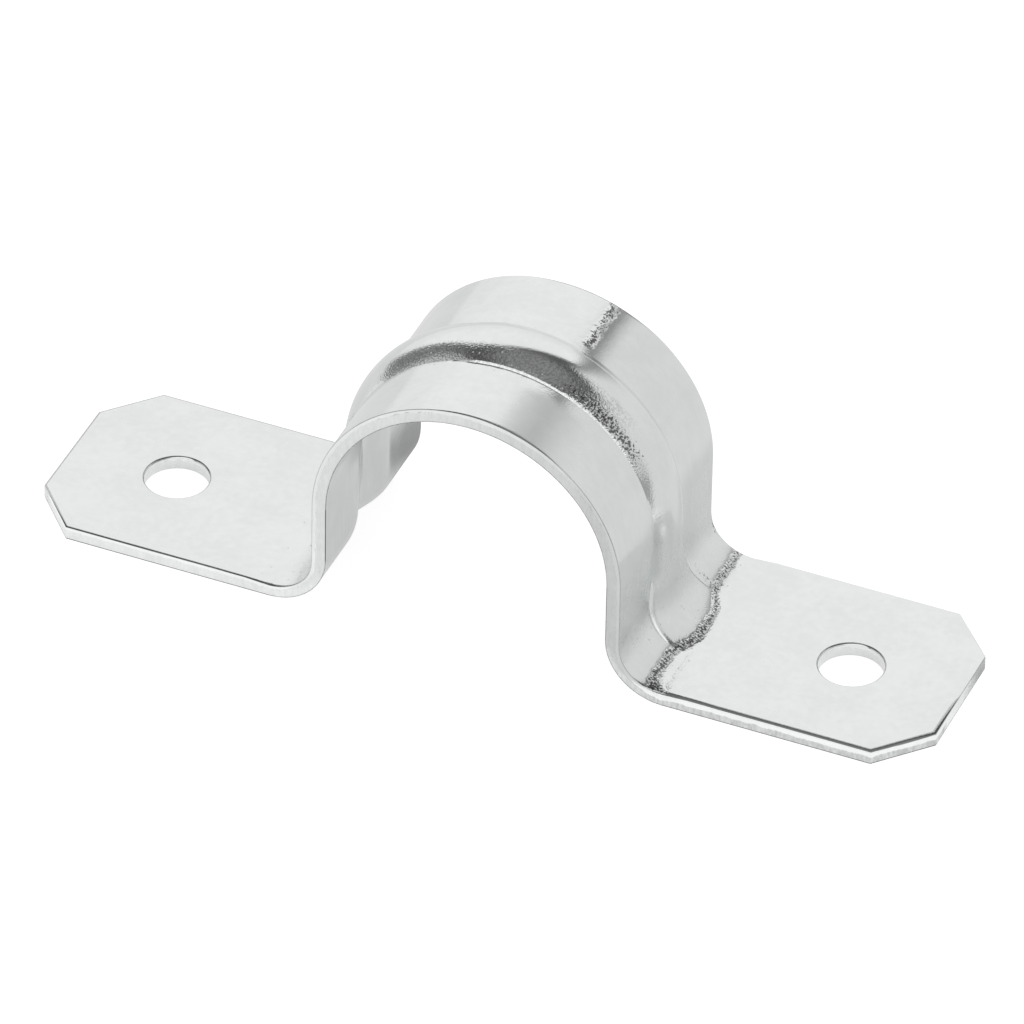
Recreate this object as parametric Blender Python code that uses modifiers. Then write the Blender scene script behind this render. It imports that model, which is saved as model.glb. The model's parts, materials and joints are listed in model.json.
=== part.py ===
"""Two-hole omega conduit clamp.

One strip of zinc-plated steel, pressed in one piece: two flat ears with a screw hole each, a
foot bend and a leg on either side, the arch between them, and a stiffening bead that runs along
the middle of the strip from one ear over the arch to the other. The wall that the clamp is
screwed to is the plane Z = 0, the conduit runs along Y, and the origin is at the middle of the
clamp. Everything is in metres.
"""

import math
from collections import namedtuple

import bmesh
import bpy

# Conduit and arch
CONDUIT_DIAMETER = 0.0234
CONDUIT_PLAY = 0.0002  # between the conduit and the inside of the arch, on the radius
GRIP = 0.0014  # how much lower than the conduit the arch is, so that the screws pull it tight

# Strip
THICKNESS = 0.0012
STRIP_WIDTH = 0.0188
EDGE_ROUNDING = 0.0002

# Foot bends and ears
FOOT_BEND_RADIUS = 0.0037  # on the hollow upper side
EAR_LENGTH = 0.0213  # the flat, from the foot bend to the tip
CLIP_LENGTH = 0.0038  # clipped corner, along the strip
CLIP_WIDTH = 0.0042  # clipped corner, across the strip

# Screw holes
HOLE_DIAMETER = 0.0052
HOLE_FROM_TIP = 0.0092
HOLE_ROLL = 0.0002  # rounded rim on the side that the punch came from

# Stiffening bead
BEAD_HEIGHT = 0.0010
BEAD_HALF_WIDTH = 0.0027  # over the arch
BEAD_TOE_HALF_WIDTH = 0.0040  # where it runs out on the ear
BEAD_FOOT_RADIUS = 0.0004

# Fineness of the surface, in faces
ARCH_FACES = 20  # from the crown of the arch to the leg
LEG_FACES = 3
BEND_FACES = 8
BEAD_CROWN_FACES = 4  # from the middle of the bead to its flank
BEAD_HOLLOW_FACES = 2  # from its flank to the flat beside it
BESIDE_BEAD_FACES = 2
HOLE_FACES = 32
HOLE_ROLL_FACES = 4
EDGE_FACES = 2

# What follows from these
ARCH_RADIUS = CONDUIT_DIAMETER / 2 + CONDUIT_PLAY + THICKNESS  # outside of the arch
ARCH_CENTRE = CONDUIT_DIAMETER - GRIP - (ARCH_RADIUS - THICKNESS)
LEG_FOOT = THICKNESS + FOOT_BEND_RADIUS
BEND_CENTRE = ARCH_RADIUS + FOOT_BEND_RADIUS  # the flat of the ear begins here too
TIP = BEND_CENTRE + EAR_LENGTH
HOLE_PLACE = TIP - HOLE_FROM_TIP

QUARTER_TURN = math.pi / 2
HALF_GRID = 0.5  # the sheet's grid runs from -0.5 to 0.5 before it is formed
MERGE_DISTANCE = 0.00001
ZINC = (0.76, 0.79, 0.78, 1.0)
POLISH = 0.28

# A cross-section of the strip's upper side: its place (x, z), the direction in which the bead
# pushes the metal there, and the half widths of the bead and of the strip
Station = namedtuple("Station", "place push half_bead half_strip")


def arch_stations():
    """From the crown of the arch down to the leg."""
    for face in range(ARCH_FACES):
        angle = QUARTER_TURN * (1 - face / ARCH_FACES)
        push = (math.cos(angle), math.sin(angle))
        place = (ARCH_RADIUS * push[0], ARCH_CENTRE + ARCH_RADIUS * push[1])
        yield Station(place, push, BEAD_HALF_WIDTH, STRIP_WIDTH / 2)


def leg_and_bend_stations():
    """Down the leg and round the foot bend, while the bead grows wider towards its toe."""
    leg_length = ARCH_CENTRE - LEG_FOOT
    flare_length = leg_length + FOOT_BEND_RADIUS * QUARTER_TURN
    for face in range(LEG_FACES):
        run = leg_length * face / LEG_FACES
        place = (ARCH_RADIUS, ARCH_CENTRE - run)
        yield Station(place, (1.0, 0.0), flared_bead(run / flare_length), STRIP_WIDTH / 2)
    for face in range(BEND_FACES + 1):
        angle = QUARTER_TURN * face / BEND_FACES
        run = leg_length + FOOT_BEND_RADIUS * angle
        place = (
            BEND_CENTRE - FOOT_BEND_RADIUS * math.cos(angle),
            LEG_FOOT - FOOT_BEND_RADIUS * math.sin(angle),
        )
        yield Station(place, (1.0, 0.0), flared_bead(run / flare_length), STRIP_WIDTH / 2)


def ear_stations():
    """Along the flat of the ear, past the bead's toe, to the clipped corners and the tip."""
    places = (
        (BEND_CENTRE + 3 * BEAD_HEIGHT, STRIP_WIDTH / 2),
        (TIP - CLIP_LENGTH, STRIP_WIDTH / 2),
        (TIP, STRIP_WIDTH / 2 - CLIP_WIDTH),
    )
    for x, half_strip in places:
        yield Station((x, THICKNESS), (0.0, 0.0), BEAD_TOE_HALF_WIDTH, half_strip)


def flared_bead(share):
    """The bead's half width on its way from the arch to its toe, with no corner at either end."""
    return BEAD_HALF_WIDTH + (BEAD_TOE_HALF_WIDTH - BEAD_HALF_WIDTH) * share**2 * (3 - 2 * share)


def bead_section(half_bead):
    """Half of a cross-section: distances from the middle of the strip, and the rise at each.

    The crown of the bead is a round arc, and a small arc the other way joins it to the flat
    beside it, so that both arcs run along the same flank.
    """
    both_radii = (half_bead**2 + BEAD_HEIGHT**2) / (2 * BEAD_HEIGHT)
    crown_radius = both_radii - BEAD_FOOT_RADIUS
    flank = math.asin(half_bead / both_radii)
    points = []
    for face in range(BEAD_CROWN_FACES):
        angle = flank * face / BEAD_CROWN_FACES
        rise = BEAD_HEIGHT - crown_radius * (1 - math.cos(angle))
        points.append((crown_radius * math.sin(angle), rise))
    for face in range(BEAD_HOLLOW_FACES):
        angle = flank * (1 - face / BEAD_HOLLOW_FACES)
        rise = BEAD_FOOT_RADIUS * (1 - math.cos(angle))
        points.append((half_bead - BEAD_FOOT_RADIUS * math.sin(angle), rise))
    for face in range(BESIDE_BEAD_FACES + 1):
        beside = (STRIP_WIDTH / 2 - half_bead) * face / BESIDE_BEAD_FACES
        points.append((half_bead + beside, 0.0))
    return points


def formed_point(station, column):
    """Where the press puts a point of the flat sheet."""
    across, rise = bead_section(station.half_bead)[column]
    x, z = station.place
    narrowing = station.half_strip / (STRIP_WIDTH / 2)
    return (x + station.push[0] * rise, across * narrowing, z + station.push[1] * rise)


def pressed_sheet():
    """A quarter of the strip's upper side: a flat grid, formed over the arch and the bead."""
    rows = [*arch_stations(), *leg_and_bend_stations(), *ear_stations()]
    row_faces = len(rows) - 1
    column_faces = BEAD_CROWN_FACES + BEAD_HOLLOW_FACES + BESIDE_BEAD_FACES
    sheet = bmesh.new()
    bmesh.ops.create_grid(sheet, x_segments=row_faces, y_segments=column_faces, size=HALF_GRID)
    for vertex in sheet.verts:
        row = round((vertex.co.x + HALF_GRID) / (2 * HALF_GRID) * row_faces)
        column = round((vertex.co.y + HALF_GRID) / (2 * HALF_GRID) * column_faces)
        vertex.co = formed_point(rows[row], column)
    mesh = bpy.data.meshes.new("strap")
    sheet.to_mesh(mesh)
    sheet.free()
    return mesh


def pressed_strip():
    """The whole strip: the quarter mirrored both ways, with its thickness and broken edges."""
    strap = bpy.data.objects.new("strap", pressed_sheet())
    mirror = strap.modifiers.new("both ends and both sides", "MIRROR")
    mirror.use_axis = (True, True, False)
    mirror.merge_threshold = MERGE_DISTANCE
    wall = strap.modifiers.new("sheet thickness", "SOLIDIFY")
    wall.thickness = THICKNESS
    wall.offset = -1
    wall.use_even_offset = True
    wall.use_quality_normals = True
    edges = strap.modifiers.new("broken edges", "BEVEL")
    edges.width = EDGE_ROUNDING
    edges.segments = EDGE_FACES
    edges.limit_method = "ANGLE"
    edges.angle_limit = math.radians(60)
    return strap


def hole_punch(name, x):
    """A turned punch that goes right through the ear and is flared at the top for the rim."""
    radius = HOLE_DIAMETER / 2
    above = 2 * THICKNESS
    below = -THICKNESS
    outline = [(0.0, above), (radius + HOLE_ROLL, above)]
    for face in range(HOLE_ROLL_FACES + 1):
        angle = QUARTER_TURN * face / HOLE_ROLL_FACES
        out = HOLE_ROLL * (1 - math.sin(angle))
        down = HOLE_ROLL * (1 - math.cos(angle))
        outline.append((radius + out, THICKNESS - down))
    outline += [(radius, below), (0.0, below)]
    links = [(point, point + 1) for point in range(len(outline) - 1)]
    mesh = bpy.data.meshes.new(name)
    mesh.from_pydata([(out, 0.0, height) for out, height in outline], links, [])
    punch = bpy.data.objects.new(name, mesh)
    punch.location.x = x
    turn = punch.modifiers.new("turn", "SCREW")
    turn.steps = HOLE_FACES
    turn.render_steps = HOLE_FACES
    turn.use_merge_vertices = True
    turn.merge_threshold = MERGE_DISTANCE
    punch.hide_render = True
    punch.display_type = "WIRE"
    return punch


def pierce(strap, punch):
    hole = strap.modifiers.new(punch.name, "BOOLEAN")
    hole.operation = "DIFFERENCE"
    hole.solver = "EXACT"
    hole.object = punch


def zinc_plate():
    material = bpy.data.materials.new("zinc plate")
    material.use_nodes = True
    shader = material.node_tree.nodes["Principled BSDF"]
    shader.inputs["Base Color"].default_value = ZINC
    shader.inputs["Metallic"].default_value = 1.0
    shader.inputs["Roughness"].default_value = POLISH
    return material


def new_collection(name):
    collection = bpy.data.collections.new(name)
    bpy.context.scene.collection.children.link(collection)
    return collection


def main():
    for leftover in list(bpy.data.objects):
        bpy.data.objects.remove(leftover)
    clamp = new_collection("omega conduit clamp")
    cutters = new_collection("cutters")

    strap = pressed_strip()
    strap.data.materials.append(zinc_plate())
    strap.data.shade_smooth()
    clamp.objects.link(strap)
    for name, x in (("punch_left", -HOLE_PLACE), ("punch_right", HOLE_PLACE)):
        punch = hole_punch(name, x)
        cutters.objects.link(punch)
        pierce(strap, punch)


main()
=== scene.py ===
"""Omega conduit clamp: the finished strap and its studio.

The strap is formed as the press forms it: the flat of one ear, the foot bend, the leg and half of
the arch, cut into lanes and mirrored, then the bead, the wall thickness, the screw holes and the
rolled edges. The conduit runs along Y and the wall is the plane Z = 0. Sizes are in metres.
"""

import json
import math

import bmesh
import bpy
from mathutils import Matrix, Vector


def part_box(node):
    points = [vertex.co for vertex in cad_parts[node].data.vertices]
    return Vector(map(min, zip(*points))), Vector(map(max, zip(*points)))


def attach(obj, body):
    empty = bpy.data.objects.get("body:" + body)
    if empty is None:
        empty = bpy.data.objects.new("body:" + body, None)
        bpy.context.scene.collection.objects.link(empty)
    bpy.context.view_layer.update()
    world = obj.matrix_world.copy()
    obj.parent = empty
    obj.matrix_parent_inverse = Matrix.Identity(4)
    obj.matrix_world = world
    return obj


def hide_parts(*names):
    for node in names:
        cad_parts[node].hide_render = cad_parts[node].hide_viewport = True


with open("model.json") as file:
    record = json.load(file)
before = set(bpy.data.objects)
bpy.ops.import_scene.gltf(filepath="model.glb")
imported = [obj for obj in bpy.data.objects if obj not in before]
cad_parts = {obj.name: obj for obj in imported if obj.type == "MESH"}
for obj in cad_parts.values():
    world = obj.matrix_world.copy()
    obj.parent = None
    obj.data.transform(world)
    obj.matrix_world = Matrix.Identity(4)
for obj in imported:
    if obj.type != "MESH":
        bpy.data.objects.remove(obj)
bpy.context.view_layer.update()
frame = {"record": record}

bl_info = {
    "name": "Omega Conduit Clamp",
    "version": (1, 0, 0),
    "blender": (4, 5, 0),
    "location": "3D View > Sidebar > Conduit Clamp",
    "description": "Forms a two-hole omega conduit clamp of zinc-plated strip and its studio",
    "category": "Add Mesh",
}

PIECE = "pressed_strap"
NODE = "strap"
SLOT = "zinc_plate"
BODY = "root"

MOUNTS = {mount["name"]: Vector(mount["pos_m"]) for mount in frame["record"]["mounts"]}
LOWEST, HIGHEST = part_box(NODE)
SCREW_SEAT = MOUNTS["screw_seat_right"]

QUARTER_TURN = math.pi / 2
TOUCH = 0.000005  # how near a point counts as being in a place
MERGE = 0.000002

CORNER_ANGLE = math.radians(50)
GROOVE_SHARE = 1.1  # how much wider the punch's groove is than the bead, at its foot
LEAST_ROLL = 0.15  # the rolled edge's least size, on the legs and at the back of the right ear
HALF_ROLL = 0.5  # the same on the crown and the left ear
CURL_RISE = 0.6  # radians of the foot bend in which the edges begin to sag
CURL_FALL = 0.5  # radians past it in which they stop
FLOOR_GAP = 0.00001
EVEN_LIGHT = 1.08

# Where the form changes softly, each from a start to an end in metres. All but the last lie along
# the strip from the crown, and a negative one is on the left.
FOOT_STARTS = (-0.0050, -0.0020)
FOOT_HALVES = (0.0010, 0.0090)
FOOT_ENDS = (0.0135, 0.0205)
TOE_STARTS = (0.0235, 0.0255)
TOE_ENDS = (0.0290, 0.0310)
ROLL_STARTS = (-0.0040, 0.0)
ROLL_ENDS = (0.0060, 0.0090)
ROLL_FADES = (-0.0060, 0.0)  # across the right ear, from its front to its middle

# Fineness of the plating's patterns, in features a metre
CLOUD_SCALE = 260
SWAY_SCALE = 420
RAGGED_SCALE = 1100
STREAK_SCALE = 1500
FLECK_SCALE = 1500
WOBBLE_SCALE = 1800
TEAR_SCALE = 3500
CRYSTAL_SCALE = 5000
GRAIN_SCALE = 7000

# Heights of its relief, in metres
SWAY_HEIGHT = 0.000012
GRAIN_HEIGHT = 0.000003
STRETCHED_GRAIN = 0.000008  # the grain's gain in height where the metal is stretched
FLANK_GRAIN = 0.000012  # the same on the grainy flank
CRAZED_HEIGHT = 0.0001
FLECK_HEIGHT = 0.00004
TEAR_HEIGHT = 0.00003
EAR_RISE = 0.00035

BURNISHED_SHARE = 0.22  # of a sheared edge's depth
WIDER_BURNISH = 0.20  # what the right ear's edges have more of it

# Fineness of the surface
ARCH_ROWS = 90
LEG_ROWS = 20
BEND_ROWS = 36
CROWN_LANES = 14
FLAT_LANES = 20
EDGE_RINGS = 7
HOLE_SIDES = 96
ROLL_STEPS = 5
BURR_STEPS = 3


class StrapSettings(bpy.types.PropertyGroup):
    """The sizes of the strap. The overall ones come from the frame."""

    length: bpy.props.FloatProperty(
        name="Length",
        description="From the tip of one ear to the tip of the other",
        default=HIGHEST.x - LOWEST.x,
        unit="LENGTH",
        precision=5,
    )
    width: bpy.props.FloatProperty(
        name="Width",
        description="Of the strip, along the conduit",
        default=HIGHEST.y - LOWEST.y,
        unit="LENGTH",
        precision=5,
    )
    thickness: bpy.props.FloatProperty(
        name="Thickness",
        description="Of the sheet",
        default=SCREW_SEAT.z,
        unit="LENGTH",
        precision=5,
    )
    hole_place: bpy.props.FloatProperty(
        name="Hole place",
        description="From the middle of the clamp to the middle of a screw hole",
        default=SCREW_SEAT.x,
        unit="LENGTH",
        precision=5,
    )
    hole_diameter: bpy.props.FloatProperty(
        name="Hole diameter",
        description="Of the screw holes",
        default=0.0052,
        unit="LENGTH",
        precision=5,
    )
    bead_height: bpy.props.FloatProperty(
        name="Bead height",
        description="How far the stiffening bead stands out of the strip",
        default=0.0010,
        unit="LENGTH",
        precision=5,
    )
    bead_half_width: bpy.props.FloatProperty(
        name="Bead half width",
        description="From the middle of the bead to the middle of its steep foot, over the arch",
        default=0.0027,
        unit="LENGTH",
        precision=5,
    )
    toe_half_width: bpy.props.FloatProperty(
        name="Toe half width",
        description="The same where the bead runs out on the ear",
        default=0.0040,
        unit="LENGTH",
        precision=5,
    )
    foot_step: bpy.props.FloatProperty(
        name="Foot step",
        description="Height of the steep foot that the die leaves on the outside of the bead",
        default=0.00020,
        unit="LENGTH",
        precision=5,
    )
    toe_step: bpy.props.FloatProperty(
        name="Toe step",
        description="The same where the bead goes through the foot bend",
        default=0.00026,
        unit="LENGTH",
        precision=5,
    )
    foot_wall: bpy.props.FloatProperty(
        name="Foot wall",
        description="Width of that steep foot, across the strip",
        default=0.00009,
        unit="LENGTH",
        precision=5,
    )
    arch_radius: bpy.props.FloatProperty(
        name="Arch radius",
        description="Inside radius of the arch, round the conduit",
        default=0.0119,
        unit="LENGTH",
        precision=5,
    )
    bend_radius: bpy.props.FloatProperty(
        name="Foot bend radius",
        description="On the hollow upper side",
        default=0.0037,
        unit="LENGTH",
        precision=5,
    )
    clip_length: bpy.props.FloatProperty(
        name="Clip length",
        description="Of a clipped corner, along the strip",
        default=0.0038,
        unit="LENGTH",
        precision=5,
    )
    clip_width: bpy.props.FloatProperty(
        name="Clip width",
        description="Of a clipped corner, across the strip",
        default=0.0042,
        unit="LENGTH",
        precision=5,
    )
    roll_width: bpy.props.FloatProperty(
        name="Roll width",
        description="How wide the shear draws the upper edges down",
        default=0.00054,
        unit="LENGTH",
        precision=5,
    )
    roll_depth: bpy.props.FloatProperty(
        name="Roll depth",
        description="How far the shear draws the upper edges down",
        default=0.00020,
        unit="LENGTH",
        precision=5,
    )
    curl_width: bpy.props.FloatProperty(
        name="Curl width",
        description="How wide the edges sag where the foot bends squeeze them out",
        default=0.0018,
        unit="LENGTH",
        precision=5,
    )
    curl_depth: bpy.props.FloatProperty(
        name="Curl depth",
        description="How far the edges sag in the foot bends",
        default=0.00014,
        unit="LENGTH",
        precision=5,
    )
    hole_roll: bpy.props.FloatProperty(
        name="Hole roll",
        description="Rounding of the screw holes' upper rims",
        default=0.00020,
        unit="LENGTH",
        precision=5,
    )
    edge_burr: bpy.props.FloatProperty(
        name="Burr rounding",
        description="Rounding of the lower edges, where the shear breaks out",
        default=0.00009,
        unit="LENGTH",
        precision=5,
    )


class ZincSettings(bpy.types.PropertyGroup):
    """The finish of the strap."""

    bright: bpy.props.FloatVectorProperty(
        name="Bright zinc",
        description="Colour of the clean plating",
        subtype="COLOR",
        size=4,
        default=(0.820, 0.836, 0.830, 1.0),
    )
    dull: bpy.props.FloatVectorProperty(
        name="Dull zinc",
        description="Colour of the clouds in the plating",
        subtype="COLOR",
        size=4,
        default=(0.775, 0.790, 0.785, 1.0),
    )
    # Also the colour of painted shade: the crease atop the rolled edges, their lower rims and the
    # flank's dark grains.
    sheared: bpy.props.FloatVectorProperty(
        name="Sheared steel",
        description="Colour of the thinly plated fracture at the foot of the sheared edges",
        subtype="COLOR",
        size=4,
        default=(0.430, 0.440, 0.435, 1.0),
    )
    # Also the colour of the painted shade in those dark grains.
    crazed: bpy.props.FloatVectorProperty(
        name="Crazed zinc",
        description="Colour of the dark grains where the press crazed the plating",
        subtype="COLOR",
        size=4,
        default=(0.180, 0.185, 0.180, 1.0),
    )
    roughness: bpy.props.FloatProperty(
        name="Roughness",
        description="Of the flat strip",
        subtype="FACTOR",
        default=0.12,
        min=0.0,
        max=1.0,
    )


class StageSettings(bpy.types.PropertyGroup):
    """The floor, the light and the camera."""

    floor_size: bpy.props.FloatProperty(
        name="Floor size",
        description="Side of the square floor",
        default=4.0,
        unit="LENGTH",
    )
    azimuth: bpy.props.FloatProperty(
        name="Azimuth",
        description="How far the camera stands round to the right of the front",
        default=math.radians(22.47),
        subtype="ANGLE",
    )
    elevation: bpy.props.FloatProperty(
        name="Elevation",
        description="How steeply the camera looks down",
        default=math.radians(38.19),
        subtype="ANGLE",
    )
    roll: bpy.props.FloatProperty(
        name="Roll",
        description="How far the camera leans over to the left",
        default=math.radians(1.11),
        subtype="ANGLE",
    )
    distance: bpy.props.FloatProperty(
        name="Distance",
        description="From the camera to what it aims at",
        default=0.9875,
        unit="LENGTH",
    )
    aim: bpy.props.FloatVectorProperty(
        name="Aim",
        description="The point in the middle of the picture",
        subtype="TRANSLATION",
        default=(-0.00133, 0.00313, 0.00433),
    )
    lens: bpy.props.FloatProperty(
        name="Focal length",
        description="Of the long lens",
        default=440.3,
        subtype="DISTANCE_CAMERA",
    )


class Shape:
    """Places on the strip that follow from its sizes."""

    def __init__(self, sizes):
        self.sizes = sizes
        self.half_width = sizes.width / 2
        self.tip = sizes.length / 2
        self.outside = sizes.arch_radius + sizes.thickness
        self.arch_centre = HIGHEST.z - sizes.bead_height - self.outside
        self.bend_centre = self.outside + sizes.bend_radius
        self.leg_foot = sizes.thickness + sizes.bend_radius
        self.flat_start = self.bend_centre + 2 * sizes.bead_height
        self.leg_length = self.arch_centre - self.leg_foot
        self.flare_length = self.leg_length + sizes.bend_radius * QUARTER_TURN
        self.quarter_arch = self.outside * QUARTER_TURN
        self.bend_start = self.quarter_arch + self.leg_length
        self.bend_end = self.quarter_arch + self.flare_length
        self.shoulder = sizes.bead_half_width - sizes.foot_wall / 2
        self.foot = sizes.bead_half_width + sizes.foot_wall / 2
        self.last_lane = self.half_width - 1.05 * sizes.roll_width

    def lane_places(self):
        """Where the lanes are cut across half of the strip: the bead, its steep foot, the flat."""
        for lane in range(1, CROWN_LANES + 1):
            yield self.shoulder * lane / CROWN_LANES
        for lane in range(FLAT_LANES + 1):
            yield self.foot + (self.last_lane - self.foot) * lane / FLAT_LANES

    def ring_steps(self):
        """How far each ring of the rolled edge lies inside the one before it."""
        places = [1 - math.cos(QUARTER_TURN * ring / EDGE_RINGS) for ring in range(EDGE_RINGS + 1)]
        return [(inner - outer) * self.sizes.roll_width for outer, inner in zip(places, places[1:])]

    def from_outline(self, x, y):
        """How far inside the outline of the flat strip a point lies."""
        sizes = self.sizes
        x, y = abs(x), abs(y)
        slant = math.hypot(sizes.clip_length, sizes.clip_width)
        beside_clip = (self.tip - x) * sizes.clip_width
        beside_clip += (self.half_width - sizes.clip_width - y) * sizes.clip_length
        return min(self.half_width - y, self.tip - x, beside_clip / slant)

    def position(self, x, z):
        """How far along the strip a point is from the crown, and how deep below the upper side."""
        sizes = self.sizes
        x = abs(x)
        if z >= self.arch_centre:
            height = z - self.arch_centre
            return self.outside * math.atan2(x, height), self.outside - math.hypot(x, height)
        if z >= self.leg_foot:
            return self.quarter_arch + self.arch_centre - z, self.outside - x
        if x < self.bend_centre:
            out = self.bend_centre - x
            down = self.leg_foot - z
            along = self.bend_start + sizes.bend_radius * math.atan2(down, out)
            return along, math.hypot(out, down) - sizes.bend_radius
        return self.bend_end + x - self.bend_centre, sizes.thickness - z

    def bead_half_width(self, along):
        """It is even over the arch and flares out down the leg and round the foot bend."""
        sizes = self.sizes
        flare = smooth((along - self.quarter_arch) / self.flare_length)
        return sizes.bead_half_width + (sizes.toe_half_width - sizes.bead_half_width) * flare

    def groove_rise(self, across, half_bead):
        """The bead's rise on the inside, where the punch leaves a smooth groove, from 0 to 1."""
        share = min(abs(across) / (half_bead * GROOVE_SHARE), 1.0)
        return 0.5 + 0.5 * math.cos(math.pi * share)

    def foot_height(self, x, along):
        """The steep foot's height: it stands over the crown, down the right and at both toes."""
        sizes = self.sizes
        on_right = ramp(math.copysign(along, x), FOOT_STARTS)
        past_crown = 1 - 0.5 * ramp(along, FOOT_HALVES)
        on_arch = on_right * past_crown * (1 - ramp(along, FOOT_ENDS))
        at_toe = ramp(along, TOE_STARTS) * (1 - ramp(along, TOE_ENDS))
        return sizes.foot_step * on_arch + sizes.toe_step * at_toe

    def bead_rise(self, across, half_bead, step):
        """The bead's rise on the outside: a round crown that ends in a steep foot, from 0 to 1."""
        sizes = self.sizes
        across = abs(across)
        shoulder = half_bead - sizes.foot_wall / 2
        if across > shoulder:
            share = max(shoulder + sizes.foot_wall - across, 0.0) / sizes.foot_wall
            return step / sizes.bead_height * share
        height = sizes.bead_height - step
        radius = (shoulder**2 + height**2) / (2 * height)
        drop = radius - math.sqrt(radius**2 - across**2)
        return 1.0 - drop / sizes.bead_height

    def roll_drop(self, x, y, z):
        """How far the shear draws a point of the upper side down at the edges."""
        sizes = self.sizes
        along = math.copysign(self.position(x, z)[0], x)
        on_ear = smooth((abs(x) - self.outside) / sizes.bend_radius)
        on_crown = ramp(along, ROLL_STARTS) * (1 - ramp(along, ROLL_ENDS))
        most = HALF_ROLL
        if x > 0 and on_ear > 0:
            most = 1 - (1 - LEAST_ROLL) * ramp(y, ROLL_FADES)
        size = LEAST_ROLL + (most - LEAST_ROLL) * max(on_ear, on_crown)
        out = max(1 - max(self.from_outline(x, y), 0.0) / (sizes.roll_width * size), 0.0)
        return sizes.roll_depth * size * (1 - math.sqrt(1 - out**2))

    def curl_drop(self, x, y, z):
        """How far the foot bends squeeze a point of the upper side down beside the edges."""
        sizes = self.sizes
        bend = self.position(x, z)[0] - self.quarter_arch - self.leg_length
        bend /= sizes.bend_radius
        in_bend = smooth(bend / CURL_RISE) * (1 - smooth((bend - QUARTER_TURN) / CURL_FALL))
        inside = max(self.from_outline(x, y), 0.0)
        return sizes.curl_depth * in_bend * max(1 - inside / sizes.curl_width, 0.0) ** 2


def smooth(share):
    """Goes gently from 0 to 1 as the share does, and stays there."""
    share = min(max(share, 0.0), 1.0)
    return share**2 * (3 - 2 * share)


def ramp(value, places):
    """Goes gently from 0 to 1 as the value goes from the first place to the second."""
    start, end = places
    return smooth((value - start) / (end - start))


def near(a, b, reach=TOUCH):
    return abs(a - b) < reach


def ends(edge):
    return [vertex.co for vertex in edge.verts]


def edit_selection(kind, test):
    """In edit mode, selects the vertices, edges or faces for which the test is true."""
    bpy.ops.mesh.select_mode(type=kind)
    bpy.ops.mesh.select_all(action="DESELECT")
    data = bpy.context.edit_object.data
    mesh = bmesh.from_edit_mesh(data)
    mesh.normal_update()
    items = {"VERT": mesh.verts, "EDGE": mesh.edges, "FACE": mesh.faces}[kind]
    chosen = [item for item in items if test(item)]
    if not chosen:
        raise RuntimeError(f"found nothing to select among the {kind} items of {data.name}")
    for item in chosen:
        item.select_set(True)
    mesh.select_flush_mode()
    bmesh.update_edit_mesh(data)


def only(piece):
    """Makes the piece the only selected object and the active one."""
    bpy.ops.object.select_all(action="DESELECT")
    piece.select_set(True)
    bpy.context.view_layer.objects.active = piece


def apply_modifier(piece, name, kind, **settings):
    """Adds a modifier, sets it and applies it."""
    modifier = piece.modifiers.new(name, kind)
    for setting, value in settings.items():
        setattr(modifier, setting, value)
    only(piece)
    bpy.ops.object.modifier_apply(modifier=modifier.name)


def bend_quarter(shape):
    """The lower side of a quarter of the strap: ear, foot bend, leg and half of the arch."""
    sizes = shape.sizes
    clip_start = shape.tip - sizes.clip_length
    bpy.ops.object.select_all(action="DESELECT")
    middle = ((shape.flat_start + clip_start) / 2, shape.half_width / 2, 0)
    bpy.ops.mesh.primitive_plane_add(size=1, location=middle)
    strap = bpy.context.active_object
    strap.name = PIECE
    strap.data.name = PIECE
    strap.scale = (clip_start - shape.flat_start, shape.half_width, 1)
    bpy.ops.object.transform_apply(location=True, rotation=True, scale=True)
    bpy.ops.object.mode_set(mode="EDIT")

    # The tip with its clipped corner
    edit_selection("EDGE", lambda edge: all(near(end.x, clip_start) for end in ends(edge)))
    bpy.ops.mesh.extrude_region_move(TRANSFORM_OT_translate={"value": (sizes.clip_length, 0, 0)})
    edit_selection(
        "VERT", lambda vertex: near(vertex.co.x, shape.tip) and near(vertex.co.y, shape.half_width)
    )
    bpy.ops.transform.translate(value=(0, -sizes.clip_width, 0))

    # A short flat before the bend, the bend itself, the leg and the arch
    edit_selection("EDGE", lambda edge: all(near(end.x, shape.flat_start) for end in ends(edge)))
    short_flat = shape.bend_centre - shape.flat_start
    bpy.ops.mesh.extrude_region_move(TRANSFORM_OT_translate={"value": (short_flat, 0, 0)})
    bpy.ops.mesh.spin(
        steps=BEND_ROWS,
        angle=-QUARTER_TURN,
        center=(shape.bend_centre, 0, shape.leg_foot),
        axis=(0, 1, 0),
    )
    rise = shape.leg_length / LEG_ROWS
    for _ in range(LEG_ROWS):
        bpy.ops.mesh.extrude_region_move(TRANSFORM_OT_translate={"value": (0, 0, rise)})
    bpy.ops.mesh.spin(
        steps=ARCH_ROWS,
        angle=QUARTER_TURN,
        center=(0, 0, shape.arch_centre),
        axis=(0, 1, 0),
    )
    bpy.ops.mesh.select_all(action="SELECT")
    bpy.ops.mesh.remove_doubles(threshold=MERGE)

    # Lanes along the strip, everywhere but on the ear's flat
    for place in shape.lane_places():
        edit_selection("FACE", lambda face: face.calc_center_median().x < shape.flat_start)
        bpy.ops.mesh.bisect(plane_co=(0, place, 0), plane_no=(0, 1, 0), threshold=MERGE)
    bpy.ops.mesh.select_all(action="SELECT")
    bpy.ops.mesh.normals_make_consistent(inside=False)
    bpy.ops.object.mode_set(mode="OBJECT")

    crown = shape.arch_centre + sizes.arch_radius
    if not any(near(vertex.co.z, crown) for vertex in strap.data.vertices):
        raise RuntimeError("the bends went the wrong way: the arch has no crown")
    if strap.data.polygons[0].normal.z < 0:
        strap.data.flip_normals()
    return strap


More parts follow.
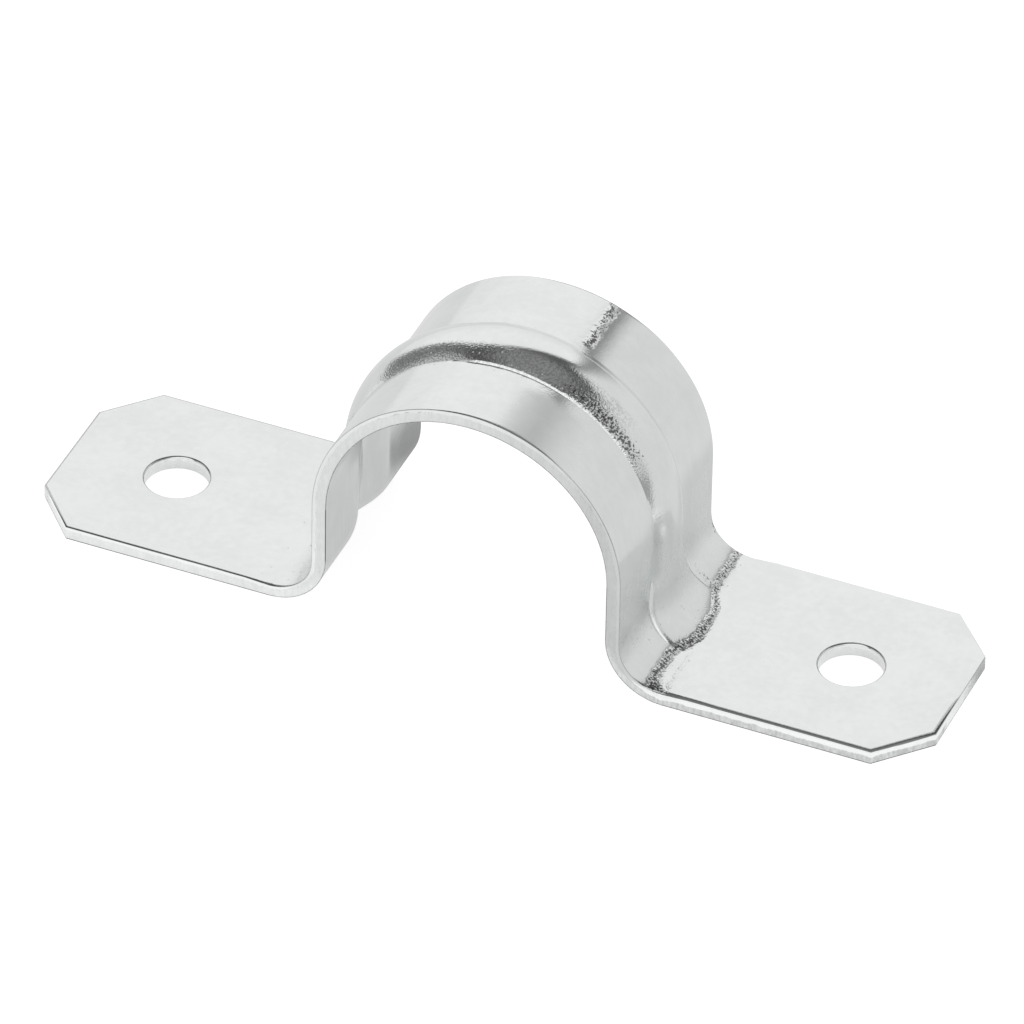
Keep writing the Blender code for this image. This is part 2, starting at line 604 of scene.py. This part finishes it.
def weigh(piece, name, weight):
    """Adds a vertex group, with a weight for each vertex from a function of the vertex."""
    group = piece.vertex_groups.new(name=name)
    for vertex in piece.data.vertices:
        share = weight(vertex)
        if share > 0:
            group.add([vertex.index], share, "REPLACE")


def flare_lanes(strap, shape):
    """Moves the lanes outwards on the leg and the bend, so that they follow the bead's flare."""
    sizes = shape.sizes
    most = sizes.toe_half_width - sizes.bead_half_width
    beside = shape.last_lane - shape.foot

    def shift(vertex):
        x, y, z = vertex.co
        if x > shape.flat_start + TOUCH:
            return 0
        along, _ = shape.position(x, z)
        widening = shape.bead_half_width(along) - sizes.bead_half_width
        return widening / most * min(y / shape.shoulder, 1.0, (shape.last_lane - y) / beside)

    weigh(strap, "flare", shift)
    apply_modifier(
        strap, "flare", "DISPLACE", direction="Y", mid_level=0, strength=most, vertex_group="flare"
    )


def thicken(strap, shape):
    """Gives the sheet its thickness, outwards, with the upper edges drawn down all round.

    Rings of faces follow the outline. Each vertex weighs what is left of the thickness there.
    """
    sizes = shape.sizes
    only(strap)
    bpy.ops.object.mode_set(mode="EDIT")
    bpy.ops.mesh.select_all(action="SELECT")
    for step in shape.ring_steps():
        bpy.ops.mesh.inset(thickness=step, use_boundary=True, use_even_offset=True)
    bpy.ops.object.mode_set(mode="OBJECT")

    def left_over(vertex):
        return 1 - (shape.roll_drop(*vertex.co) + shape.curl_drop(*vertex.co)) / sizes.thickness

    weigh(strap, "thickness", left_over)
    apply_modifier(
        strap,
        "sheet",
        "SOLIDIFY",
        thickness=sizes.thickness,
        offset=1,
        use_even_offset=True,
        vertex_group="thickness",
    )
    strap.vertex_groups.clear()


def press_bead(strap, shape):
    """Pushes the metal of the bead out, radially on the arch and sideways on legs and bends.

    The outside of the sheet takes the die's steep foot and the inside the punch's smooth groove.
    """
    height = shape.sizes.bead_height
    past_bend = (shape.bend_centre + shape.flat_start) / 2

    def rise(vertex):
        x, y, z = vertex.co
        if abs(x) > past_bend:
            return 0
        along, depth = shape.position(x, z)
        half_bead = shape.bead_half_width(along)
        if depth > shape.sizes.thickness / 2:
            return shape.groove_rise(y, half_bead)
        return shape.bead_rise(y, half_bead, shape.foot_height(x, along))

    def on_arch(vertex):
        return vertex.co.z >= shape.arch_centre - TOUCH

    def is_outer(vertex):
        return shape.position(vertex.co.x, vertex.co.z)[1] < shape.sizes.thickness / 2

    pushes = (
        ("arch outside", "NORMAL", height, lambda v: on_arch(v) and is_outer(v)),
        ("arch inside", "NORMAL", -height, lambda v: on_arch(v) and not is_outer(v)),
        ("right leg", "X", height, lambda v: not on_arch(v) and v.co.x > 0),
        ("left leg", "X", -height, lambda v: not on_arch(v) and v.co.x < 0),
    )
    for name, _, _, belongs in pushes:
        weigh(strap, name, lambda vertex, belongs=belongs: rise(vertex) if belongs(vertex) else 0)
    for name, direction, push, _ in pushes:
        apply_modifier(
            strap,
            name,
            "DISPLACE",
            direction=direction,
            mid_level=0,
            strength=push,
            vertex_group=name,
        )
    strap.vertex_groups.clear()


def pierce(strap, shape, x):
    """Punches a screw hole right through an ear."""
    sizes = shape.sizes
    bpy.ops.object.select_all(action="DESELECT")
    bpy.ops.mesh.primitive_cylinder_add(
        vertices=HOLE_SIDES,
        radius=sizes.hole_diameter / 2,
        depth=4 * sizes.thickness,
        location=(x, 0, sizes.thickness / 2),
    )
    punch = bpy.context.active_object
    apply_modifier(
        strap, "screw hole", "BOOLEAN", operation="DIFFERENCE", solver="EXACT", object=punch
    )
    bpy.data.objects.remove(punch)


def break_edges(strap, shape):
    """Rolls the holes' upper rims over, breaks the lower edges and creases the bead's foot."""
    sizes = shape.sizes

    def is_corner(edge):
        return len(edge.link_faces) == 2 and edge.calc_face_angle() > CORNER_ANGLE

    def at_depth(edge, depth):
        return all(near(shape.position(end.x, end.z)[1], depth) for end in ends(edge))

    def at_hole(edge):
        radius = sizes.hole_diameter / 2
        away = [math.hypot(abs(end.x) - sizes.hole_place, end.y) for end in ends(edge)]
        return all(near(distance, radius) for distance in away)

    def at_bead_foot(edge):
        sides = set()
        for end in ends(edge):
            along, depth = shape.position(end.x, end.z)
            beside = abs(end.y) - shape.bead_half_width(along)
            if abs(depth) > sizes.toe_step + TOUCH or not near(abs(beside), sizes.foot_wall / 2):
                return False
            sides.add(beside > 0)
        return len(sides) == 1

    only(strap)
    bpy.ops.object.mode_set(mode="EDIT")
    edit_selection("EDGE", lambda edge: at_hole(edge) and at_depth(edge, 0))
    bpy.ops.mesh.bevel(offset=sizes.hole_roll, segments=ROLL_STEPS, affect="EDGES")
    edit_selection("EDGE", lambda edge: is_corner(edge) and at_depth(edge, sizes.thickness))
    bpy.ops.mesh.bevel(offset=sizes.edge_burr, segments=BURR_STEPS, affect="EDGES")
    edit_selection("EDGE", at_bead_foot)
    bpy.ops.mesh.mark_sharp()
    bpy.ops.object.mode_set(mode="OBJECT")


def note_places(strap, shape):
    """Stores what the zinc plating needs to know of each point.

    along is the distance from the crown along the strip in metres, negative on the left. depth is
    0 on the upper side and 1 on the lower one, and leaves out how far the bends curl the edges.
    """
    sizes = shape.sizes
    alongs = []
    depths = []
    for vertex in strap.data.vertices:
        x, y, z = vertex.co
        along, depth = shape.position(x, z)
        if depth < sizes.thickness / 2:
            depth -= shape.curl_drop(x, y, z)
        share = depth / sizes.thickness
        if abs(x) < shape.flat_start and shape.from_outline(x, y) > sizes.roll_width - TOUCH:
            share = float(is_inside(vertex, shape))
        alongs.append(math.copysign(along, x))
        depths.append(min(max(share, 0.0), 1.0))
    for name, values in (("along", alongs), ("depth", depths)):
        attribute = strap.data.attributes.new(name, "FLOAT", "POINT")
        attribute.data.foreach_set("value", values)


def is_inside(vertex, shape):
    """Whether a vertex is on the side of the sheet that faces the conduit or the wall."""
    x, _, z = vertex.co
    if z >= shape.arch_centre:
        out = Vector((x, 0, z - shape.arch_centre))
    elif z >= shape.leg_foot:
        out = Vector((x, 0, 0))
    elif abs(x) < shape.bend_centre:
        out = Vector((math.copysign(shape.bend_centre, x) - x, 0, shape.leg_foot - z))
    else:
        out = Vector((0, 0, 1))
    return vertex.normal.dot(out) < 0


class Value:
    """A number or a vector inside a material, on which arithmetic can be written."""

    def __init__(self, nodes, socket):
        self.nodes = nodes
        self.socket = socket

    def __add__(self, other):
        return self.nodes.maths("ADD", self, other)

    def __radd__(self, other):
        return self.nodes.maths("ADD", other, self)

    def __sub__(self, other):
        return self.nodes.maths("SUBTRACT", self, other)

    def __rsub__(self, other):
        return self.nodes.maths("SUBTRACT", other, self)

    def __mul__(self, other):
        return self.nodes.maths("MULTIPLY", self, other)

    def __rmul__(self, other):
        return self.nodes.maths("MULTIPLY", other, self)

    def __abs__(self):
        return self.nodes.maths("ABSOLUTE", self)


class Nodes:
    """Adds nodes to the tree of one material or world."""

    def __init__(self, tree):
        self.tree = tree

    def add(self, kind, settings=None, sockets=None, output=0):
        """A node of that type, with its settings made first and then its sockets set or linked."""
        node = self.tree.nodes.new(kind)
        for name, value in (settings or {}).items():
            setattr(node, name, value)
        for name, value in (sockets or {}).items():
            if isinstance(value, Value):
                self.tree.links.new(value.socket, node.inputs[name])
            else:
                node.inputs[name].default_value = value
        return Value(self, node.outputs[output]) if len(node.outputs) else node

    def maths(self, operation, *values):
        return self.add("ShaderNodeMath", {"operation": operation}, dict(enumerate(values)))

    def axes(self, vector):
        """The three numbers of a vector."""
        first = self.add("ShaderNodeSeparateXYZ", {}, {0: vector})
        return [Value(self, output) for output in first.socket.node.outputs]

    def step(self, value, start, end):
        """Rises smoothly from 0 to 1 as the value goes from start to end."""
        sockets = {"Value": value, "From Min": start, "From Max": end}
        return self.add("ShaderNodeMapRange", {"interpolation_type": "SMOOTHSTEP"}, sockets)

    def band(self, value, low, high, soft):
        """Is 1 where the value lies between low and high, and falls softly to 0 outside them."""
        rise = self.step(value, low - soft, low + soft)
        return rise * (1 - self.step(value, high - soft, high + soft))

    def noise(self, place, scale, detail=2.0, roughness=0.5, distortion=0.0):
        """Soft noise between 0 and 1, with scale features a metre."""
        sockets = {
            "Vector": place,
            "Scale": scale,
            "Detail": detail,
            "Roughness": roughness,
            "Distortion": distortion,
        }
        return self.add("ShaderNodeTexNoise", {}, sockets)

    def stretched(self, place, scale):
        """The place with its three axes scaled one by one."""
        return self.add("ShaderNodeVectorMath", {"operation": "MULTIPLY"}, {0: place, 1: scale})

    def mix(self, share, first, second):
        """One colour turning into another as the share goes from 0 to 1."""
        sockets = {"Factor": share, 6: first, 7: second}
        return self.add("ShaderNodeMix", {"data_type": "RGBA"}, sockets, output=2)

    def grey(self, level):
        """A grey of that level."""
        return self.add("ShaderNodeCombineColor", {}, {"Red": level, "Green": level, "Blue": level})


class Plating:
    """The patterns, marks and painted shade of the zinc plating, as values inside its material.

    along and run are metres from the crown, and only along is negative on the left. y, front and
    across are metres from the middle of the strip, to the back, to the front and either way.
    """

    def __init__(self, nodes, shape):
        self.nodes = nodes
        self.shape = shape
        self.place = nodes.add("ShaderNodeTexCoord", output=3)
        self.along = nodes.add("ShaderNodeAttribute", {"attribute_name": "along"}, output=2)
        self.depth = nodes.add("ShaderNodeAttribute", {"attribute_name": "depth"}, output=2)
        _, self.y, _ = nodes.axes(self.place)
        self.front = 0 - self.y
        self.across = abs(self.y)
        self.run = abs(self.along)
        self.upper_side = 1 - nodes.step(self.depth, 0.01, 0.05)
        self.outside_hole = nodes.step(self.across, 0.0028, 0.0035)
        right_ear = nodes.step(self.along, shape.bend_start, shape.bend_end)
        self.right_ear = right_ear * self.outside_hole

        self.clouds = nodes.noise(
            self.place, CLOUD_SCALE, detail=4.0, roughness=0.6, distortion=0.4
        )
        upright = nodes.stretched(self.place, (1.0, 1.0, 0.12))
        self.streaks = nodes.noise(upright, STREAK_SCALE, detail=3.0, roughness=0.6)
        self.crystals = nodes.noise(self.place, CRYSTAL_SCALE, detail=1.0)
        upright = nodes.stretched(self.place, (1.0, 1.0, 0.35))
        self.tear_grain = nodes.noise(upright, TEAR_SCALE, detail=3.0)

        self.stretched = self.stretched_metal()
        self.dark_flank = self.grainy_flank()
        self.crazed = self.crazed_places()
        self.on_edge = 1 - nodes.step(self.depth, 0.990, 0.999)
        self.torn = self.torn_edge()

    def stretched_metal(self):
        """Where the press stretched the metal: the bead's front flank and the foot bends."""
        step = self.nodes.step
        shape = self.shape
        half_bead = shape.sizes.bead_half_width
        flank = step(self.front, half_bead * 0.4, half_bead * 0.8)
        flank = flank * (1 - step(self.front, half_bead, half_bead * 1.4))
        flank = flank * (1 - step(self.run, shape.bend_start, shape.bend_end))
        bend = step(self.run, shape.bend_start - 0.003, shape.bend_start + 0.001)
        bend = bend * (1 - step(self.run, shape.bend_end - 0.0005, shape.bend_end + 0.0015))
        return self.nodes.maths("MAXIMUM", flank, bend)

    def grainy_flank(self):
        """The dark part of the bead's front flank round the crown, wider on the right."""
        step = self.nodes.step
        widened = self.front + 0.0007 * step(self.along, 0.002, 0.005)
        flank = step(widened, 0.0009, 0.0014) * (1 - step(self.front, 0.0026, 0.0029))
        return flank * (1 - step(self.run, 0.0085, 0.0125))

    def crazed_places(self):
        """Where the press crazed the plating, all on the right and on the upper side. Its grains
        are raised in the relief and painted dark as shade along the lines and bands where the zinc
        mirrors dark gaps in the light.
        """
        wobble = self.nodes.noise(self.place, WOBBLE_SCALE, detail=1.0) - 0.5
        crazed = self.toe_line(wobble)
        for places in (self.front_foot() * 0.85, self.back_band(wobble), self.back_marks() * 0.7):
            crazed = self.nodes.maths("MAXIMUM", crazed, places)
        return crazed * self.upper_side

    def toe_line(self, wobble):
        """A line near the end of the foot bend: out round the toe, wider at the front corner."""
        step = self.nodes.step
        shape = self.shape
        round_toe = 1 - step(self.across, 0.0014, 0.0048)
        corner = step(self.front, shape.half_width - 0.0016, shape.half_width)
        middle = shape.bend_end - 0.0013 + 0.0012 * round_toe + 0.0008 * corner
        off_line = abs(self.along - middle + 0.0004 * wobble)
        crazed = 1 - step(off_line - 0.0006 * corner, 0.0, 0.00055)
        return crazed * (1 - 0.30 * step(self.y, -0.0020, 0.0010))

    def front_foot(self):
        """The foot of the bead's front flank, down the right of the arch."""
        step = self.nodes.step
        shape = self.shape
        narrow = shape.sizes.bead_half_width
        flare = step(self.run, shape.quarter_arch, shape.bend_end)
        half_bead = narrow + (shape.sizes.toe_half_width - narrow) * flare
        beside = self.front - half_bead
        foot = step(beside, -0.0014, -0.0005) * (1 - step(beside, -0.00015, 0.00010))
        return foot * step(self.along, 0.0030, 0.0085) * (1 - step(self.along, 0.0115, 0.0150))

    def back_band(self, wobble):
        """A band across the strip behind the bead, right of the crown, fainter in its middle."""
        nodes = self.nodes
        band = 1 - nodes.step(abs(self.along - 0.0047 + 0.0006 * wobble), 0.0, 0.00060)
        faint = 1 - 0.5 * nodes.band(self.y, 0.0054, 0.0074, 0.0005)
        return band * nodes.step(self.y, 0.0034, 0.0040) * faint

    def back_marks(self):
        """Two small marks at the back of the right foot bend."""
        nodes = self.nodes
        inner = nodes.band(self.y, 0.0044, 0.0048, 0.0003)
        marks = inner * nodes.band(self.along, 0.0280, 0.0298, 0.0004)
        outer = nodes.step(self.y, 0.0086, 0.0092)
        return marks + outer * nodes.band(self.along, 0.0268, 0.0280, 0.0004)

    def torn_edge(self):
        """The torn part of the sheared edges, below a burnished one, wider on the right ear."""
        ragged = self.nodes.noise(self.place, RAGGED_SCALE, detail=2.0) - 0.5
        below = self.depth - BURNISHED_SHARE - WIDER_BURNISH * self.right_ear + 0.3 * ragged
        return self.nodes.step(below, 0.0, 0.10) * self.on_edge

    def colour(self, zinc):
        """Clouded zinc, bare steel where the edges tore, and painted shade: in the crease atop the
        rolled edges, along their lower rims, and as dark grains on the flank and where it is
        crazed.
        """
        nodes = self.nodes
        cloudy = nodes.step(self.clouds * 0.6 + self.streaks * 0.4, 0.35, 0.65)
        # Painted shade: a darker line in the crease at the top of the rolled edges, drawn in the
        # sheared steel colour.
        crease = nodes.step(self.depth, 0.004, 0.012) * (1 - nodes.step(self.depth, 0.04, 0.08))
        # Painted contact shade: darker along the lower rims of the edge walls, next to the floor.
        burr = nodes.step(self.depth, 0.90, 0.96) * self.on_edge
        tear = 0.15 + 0.30 * self.outside_hole + 0.85 * self.right_ear
        bare = self.torn * self.tear_grain * tear + burr * 0.25
        bare = bare + crease * (0.35 + 0.9 * self.crystals)
        # Painted shade: dark grains on the flank, only where it already mirrors dark parts of the
        # studio.
        grains = self.dark_flank * nodes.step(self.crystals, 0.40, 0.62) * 0.5
        bare = nodes.maths("MAXIMUM", bare, grains)
        # Painted shade: dark grains along the crazed lines and bands, which lie where the zinc
        # mirrors dark gaps in the light.
        dark_grain_and_painted_shade = nodes.step(0.24 + 0.31 * self.crazed - self.crystals, -0.05, 0.05)
        dark_grain_and_painted_shade = dark_grain_and_painted_shade * nodes.step(self.crazed, 0.0, 0.1)
        colour = nodes.mix(cloudy, zinc.dull[:], zinc.bright[:])
        colour = nodes.mix(bare, colour, zinc.sheared[:])
        return nodes.mix(dark_grain_and_painted_shade, colour, zinc.crazed[:])

    def relief(self):
        """Crystal grain, flecks, a slow sway, and the ears' slight rise towards the foot bends."""
        nodes = self.nodes
        bend_end = self.shape.bend_end
        grain = nodes.noise(self.place, GRAIN_SCALE, detail=1.0)
        fleck = nodes.add("ShaderNodeTexVoronoi", {}, {"Vector": self.place, "Scale": FLECK_SCALE})
        fleck = (1 - nodes.step(fleck, 0.04, 0.10)) * self.stretched
        sway = nodes.noise(self.place, SWAY_SCALE, detail=2.0)
        coarse = GRAIN_HEIGHT + self.stretched * STRETCHED_GRAIN + self.dark_flank * FLANK_GRAIN
        height = sway * SWAY_HEIGHT + grain * coarse
        height = height + self.crystals * self.crazed * CRAZED_HEIGHT
        height = height + fleck * FLECK_HEIGHT + self.torn * self.tear_grain * TEAR_HEIGHT
        return height - EAR_RISE * nodes.step(self.run, bend_end - 0.0010, bend_end + 0.0045)

    def roughness(self, zinc):
        """Duller where torn, where the press gripped beside the bead and where the die drew."""
        nodes = self.nodes
        shape = self.shape
        scuff = nodes.step(self.along, 0.0005, 0.004) * (1 - nodes.step(self.along, 0.007, 0.012))
        scuff = scuff * nodes.step(self.front, 0.0032, 0.0045)
        drawn = nodes.band(self.run, shape.quarter_arch - 0.001, shape.bend_end - 0.0015, 0.0015)
        drawn = drawn * self.upper_side
        roughness = zinc.roughness + 0.08 * (self.clouds - 0.5) + 0.16 * self.torn
        roughness = roughness + scuff * (0.12 + 0.20 * self.clouds)
        return roughness + drawn * (0.08 + 0.12 * self.streaks)


def zinc_plate(zinc, shape):
    """Bright zinc over pressed steel: clouded on the flats, speckled where the metal stretched,
    with painted shade in its creases, along its lower edges and in dark grains.
    """
    material = bpy.data.materials.new(SLOT)
    material.use_nodes = True
    material.node_tree.nodes.clear()
    nodes = Nodes(material.node_tree)
    plating = Plating(nodes, shape)
    bump = {"Strength": 1.0, "Distance": 1.0, "Height": plating.relief()}
    surface = nodes.add(
        "ShaderNodeBsdfPrincipled",
        {},
        {
            "Base Color": plating.colour(zinc),
            "Metallic": 1.0,
            "Roughness": plating.roughness(zinc),
            "Normal": nodes.add("ShaderNodeBump", {}, bump),
        },
    )
    nodes.add("ShaderNodeOutputMaterial", {}, {"Surface": surface})
    return material


def form_strap(context):
    """The whole strap in its forming order."""
    sizes = context.scene.clamp_strap
    shape = Shape(sizes)
    strap = bend_quarter(shape)
    flare_lanes(strap, shape)
    apply_modifier(
        strap, "both ends and sides", "MIRROR", use_axis=(True, True, False), merge_threshold=MERGE
    )
    thicken(strap, shape)
    press_bead(strap, shape)
    pierce(strap, shape, sizes.hole_place)
    pierce(strap, shape, -sizes.hole_place)
    break_edges(strap, shape)
    strap.data.shade_smooth()
    apply_modifier(
        strap, "flats first", "WEIGHTED_NORMAL", mode="FACE_AREA", weight=100, keep_sharp=True
    )
    note_places(strap, shape)
    strap.data.materials.clear()
    strap.data.materials.append(zinc_plate(context.scene.clamp_zinc, shape))
    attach(strap, BODY)
    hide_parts(NODE)
    return strap


def studio_floor(stage):
    """A plain pale floor that the ears rest on, lit so evenly that its shadows stay faint.

    The picture is exposed for white. The floor glows evenly for the camera, but for the zinc's
    reflections alone it glows greyer, with painted light and shadow: a painted pool of light close
    before the clamp, painted shade farther to the right, and a painted shadow of the clamp close
    behind it, darkest in the corner behind its left leg.
    """
    bpy.ops.object.select_all(action="DESELECT")
    bpy.ops.mesh.primitive_plane_add(size=stage.floor_size, location=(0, 0, LOWEST.z - FLOOR_GAP))
    floor = bpy.context.active_object
    floor.name = "floor"
    bpy.ops.object.transform_apply(location=True, rotation=True, scale=True)
    material = bpy.data.materials.new("floor")
    material.use_nodes = True
    material.node_tree.nodes.clear()
    nodes = Nodes(material.node_tree)
    x, y, _ = nodes.axes(nodes.add("ShaderNodeTexCoord", output=3))
    # Painted light and shadow for the zinc's reflections: a pool of light before the clamp, shade
    # farther off in front and to the right, and the clamp's shadow under and behind it, darkest
    # behind the left leg.
    under = 1 - nodes.step(abs(x), 0.013, 0.016)
    before = 1 - nodes.step(y + under * 0.010, -0.003, 0.007)
    before = before * (1 - nodes.step(x, 0.036, 0.050))
    far = 1 - nodes.step(y, -0.0140, -0.0115)
    corner = under * (1 - nodes.step(x, -0.0086, -0.0070)) * nodes.step(y, 0.006, 0.012)
    behind = (1 - under) * (1 - nodes.step(abs(x), 0.018, 0.028))
    behind = behind * nodes.step(y, 0.004, 0.010) * (1 - nodes.step(y, 0.020, 0.032))
    mirrored = 0.46 + before * 0.38 - corner * 0.38 - behind * 0.11
    mirrored = mirrored - far * (0.18 + 0.22 * nodes.step(x, -0.012, 0.004))
    # The camera sees an even glow; only reflections see the painted light and shadow.
    is_glossy = nodes.add("ShaderNodeLightPath", output="Is Glossy Ray")
    glow_with_painted_shade = mirrored * is_glossy + 0.82 * (1 - is_glossy)
    surface = nodes.add(
        "ShaderNodeBsdfPrincipled",
        {},
        {
            "Base Color": (0.3, 0.3, 0.3, 1.0),
            "Roughness": 0.9,
            "Specular IOR Level": 0.0,
            "Emission Color": nodes.grey(glow_with_painted_shade),
            "Emission Strength": 1.0,
        },
    )
    nodes.add("ShaderNodeOutputMaterial", {}, {"Surface": surface})
    floor.data.materials.append(material)


def studio_light(scene):
    """Two soft white panels behind the clamp and one before it, under a dark ceiling.

    Directions are in degrees: the azimuth from the back (+Y) round to the right, and the elevation.
    Only the polished zinc mirrors the panels. The floor is lit by an even white light.
    """
    world = bpy.data.worlds.new("studio")
    world.use_nodes = True
    tree = world.node_tree
    tree.nodes.clear()
    nodes = Nodes(tree)
    direction = nodes.add("ShaderNodeTexCoord", output=0)
    x, y, z = nodes.axes(direction)
    degrees = math.degrees(1)
    azimuth = nodes.maths("ARCTAN2", x, y) * degrees
    elevation = nodes.maths("ARCSINE", z) * degrees

    def between(value, low, high, low_soft, high_soft):
        rise = nodes.step(value, low - low_soft, low + low_soft)
        return rise * (1 - nodes.step(value, high - high_soft, high + high_soft))

    def below(top, soft):
        return 1 - nodes.step(elevation - top, -soft, soft)

    # The ceiling is darkest where it meets the panels, and the left wall is nearly as dark
    ceiling = 0.10 + 0.16 * nodes.step(elevation, 58, 70)
    light = ceiling
    left_wall = between(azimuth, -92, -62, 5, 1) * below(42, 6)
    light = light + left_wall * (0.24 - light)

    # Back left: the main panel, with a crisp left edge and an arched top
    off_middle = azimuth + 30
    top = 58 - off_middle * off_middle * 0.0083
    slant = azimuth + nodes.maths("MAXIMUM", 42 - elevation, 0) * 0.45
    main = nodes.step(azimuth, -69.5, -64.5) * (1 - nodes.step(slant, 11.6, 19.8)) * below(top, 3)
    light = light + main * (0.90 + 0.08 * nodes.step(elevation, 2, 28) - light)

    # Back right: a greyer panel past a dark slanting gap, soft towards the ceiling
    lowered = nodes.maths("MAXIMUM", azimuth - 60, 0) * 0.35
    second = nodes.step(slant, 13, 32) * (1 - nodes.step(azimuth, 84, 100)) * below(52 - lowered, 6)
    light = light + second * (0.80 - light)
    right_wall = between(azimuth, 86, 180, 8, 1) * below(43, 4)
    light = light + right_wall * (0.68 - light)

    # Before the clamp: a panel whose top falls towards the right, and beside it on the left a wall
    front = nodes.maths("ARCTAN2", x, 0 - y) * degrees
    panel = between(front, -31, 48, 4, 10) * below(66 - nodes.maths("MAXIMUM", front, 0) * 0.45, 4)
    light = light + panel * (1.14 - light)
    left_front_wall = between(azimuth, -142, -96, 6, 6) * below(40, 8)
    light = light + left_front_wall * (0.59 - light)

    is_glossy = nodes.add("ShaderNodeLightPath", output="Is Glossy Ray")
    strength = light * is_glossy + EVEN_LIGHT * (1 - is_glossy)
    background = nodes.add(
        "ShaderNodeBackground", {}, {"Color": (1, 1, 1, 1), "Strength": strength}
    )
    nodes.add("ShaderNodeOutputWorld", {}, {"Surface": background})
    scene.world = world


def aimed_camera(scene, stage):
    """A long lens that looks down on the clamp from the front and a little from the right."""
    data = bpy.data.cameras.new("camera")
    data.lens = stage.lens
    data.sensor_width = 36
    camera = bpy.data.objects.new("camera", data)
    scene.collection.objects.link(camera)
    turn = (
        Matrix.Rotation(stage.azimuth, 4, "Z")
        @ Matrix.Rotation(QUARTER_TURN - stage.elevation, 4, "X")
        @ Matrix.Rotation(stage.roll, 4, "Z")
    )
    away = turn @ Vector((0, 0, stage.distance))
    camera.matrix_world = Matrix.Translation(Vector(stage.aim) + away) @ turn
    scene.camera = camera


class CLAMP_OT_strap(bpy.types.Operator):
    """Forms the strap, with its bead, screw holes, rolled edges and zinc plating"""

    bl_idname = "clamp.strap"
    bl_label = "Form the strap"

    def execute(self, context):
        form_strap(context)
        return {"FINISHED"}


class CLAMP_OT_stage(bpy.types.Operator):
    """Lays the floor, sets the soft studio light and aims the camera"""

    bl_idname = "clamp.stage"
    bl_label = "Set the stage"

    def execute(self, context):
        scene = context.scene
        studio_floor(scene.clamp_stage)
        studio_light(scene)
        aimed_camera(scene, scene.clamp_stage)
        scene.view_settings.view_transform = "Standard"
        return {"FINISHED"}


class CLAMP_PT_panel(bpy.types.Panel):
    """Lists the steps that make the clamp and its studio"""

    bl_idname = "CLAMP_PT_panel"
    bl_label = "Conduit Clamp"
    bl_space_type = "VIEW_3D"
    bl_region_type = "UI"
    bl_category = "Conduit Clamp"

    def draw(self, context):
        for operator in OPERATORS:
            self.layout.operator(operator.bl_idname)
        for group, kind in SETTINGS.items():
            box = self.layout.box()
            for name in kind.__annotations__:
                box.prop(getattr(context.scene, group), name)


OPERATORS = (CLAMP_OT_strap, CLAMP_OT_stage)
SETTINGS = {
    "clamp_strap": StrapSettings,
    "clamp_zinc": ZincSettings,
    "clamp_stage": StageSettings,
}


def register():
    for cls in (*SETTINGS.values(), *OPERATORS, CLAMP_PT_panel):
        bpy.utils.register_class(cls)
    for name, cls in SETTINGS.items():
        setattr(bpy.types.Scene, name, bpy.props.PointerProperty(type=cls))


def unregister():
    for name in SETTINGS:
        delattr(bpy.types.Scene, name)
    for cls in (CLAMP_PT_panel, *reversed(OPERATORS), *reversed(SETTINGS.values())):
        bpy.utils.unregister_class(cls)


def main():
    register()
    bpy.ops.clamp.strap()
    bpy.ops.clamp.stage()
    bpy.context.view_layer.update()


if __name__ == "__main__":
    main()
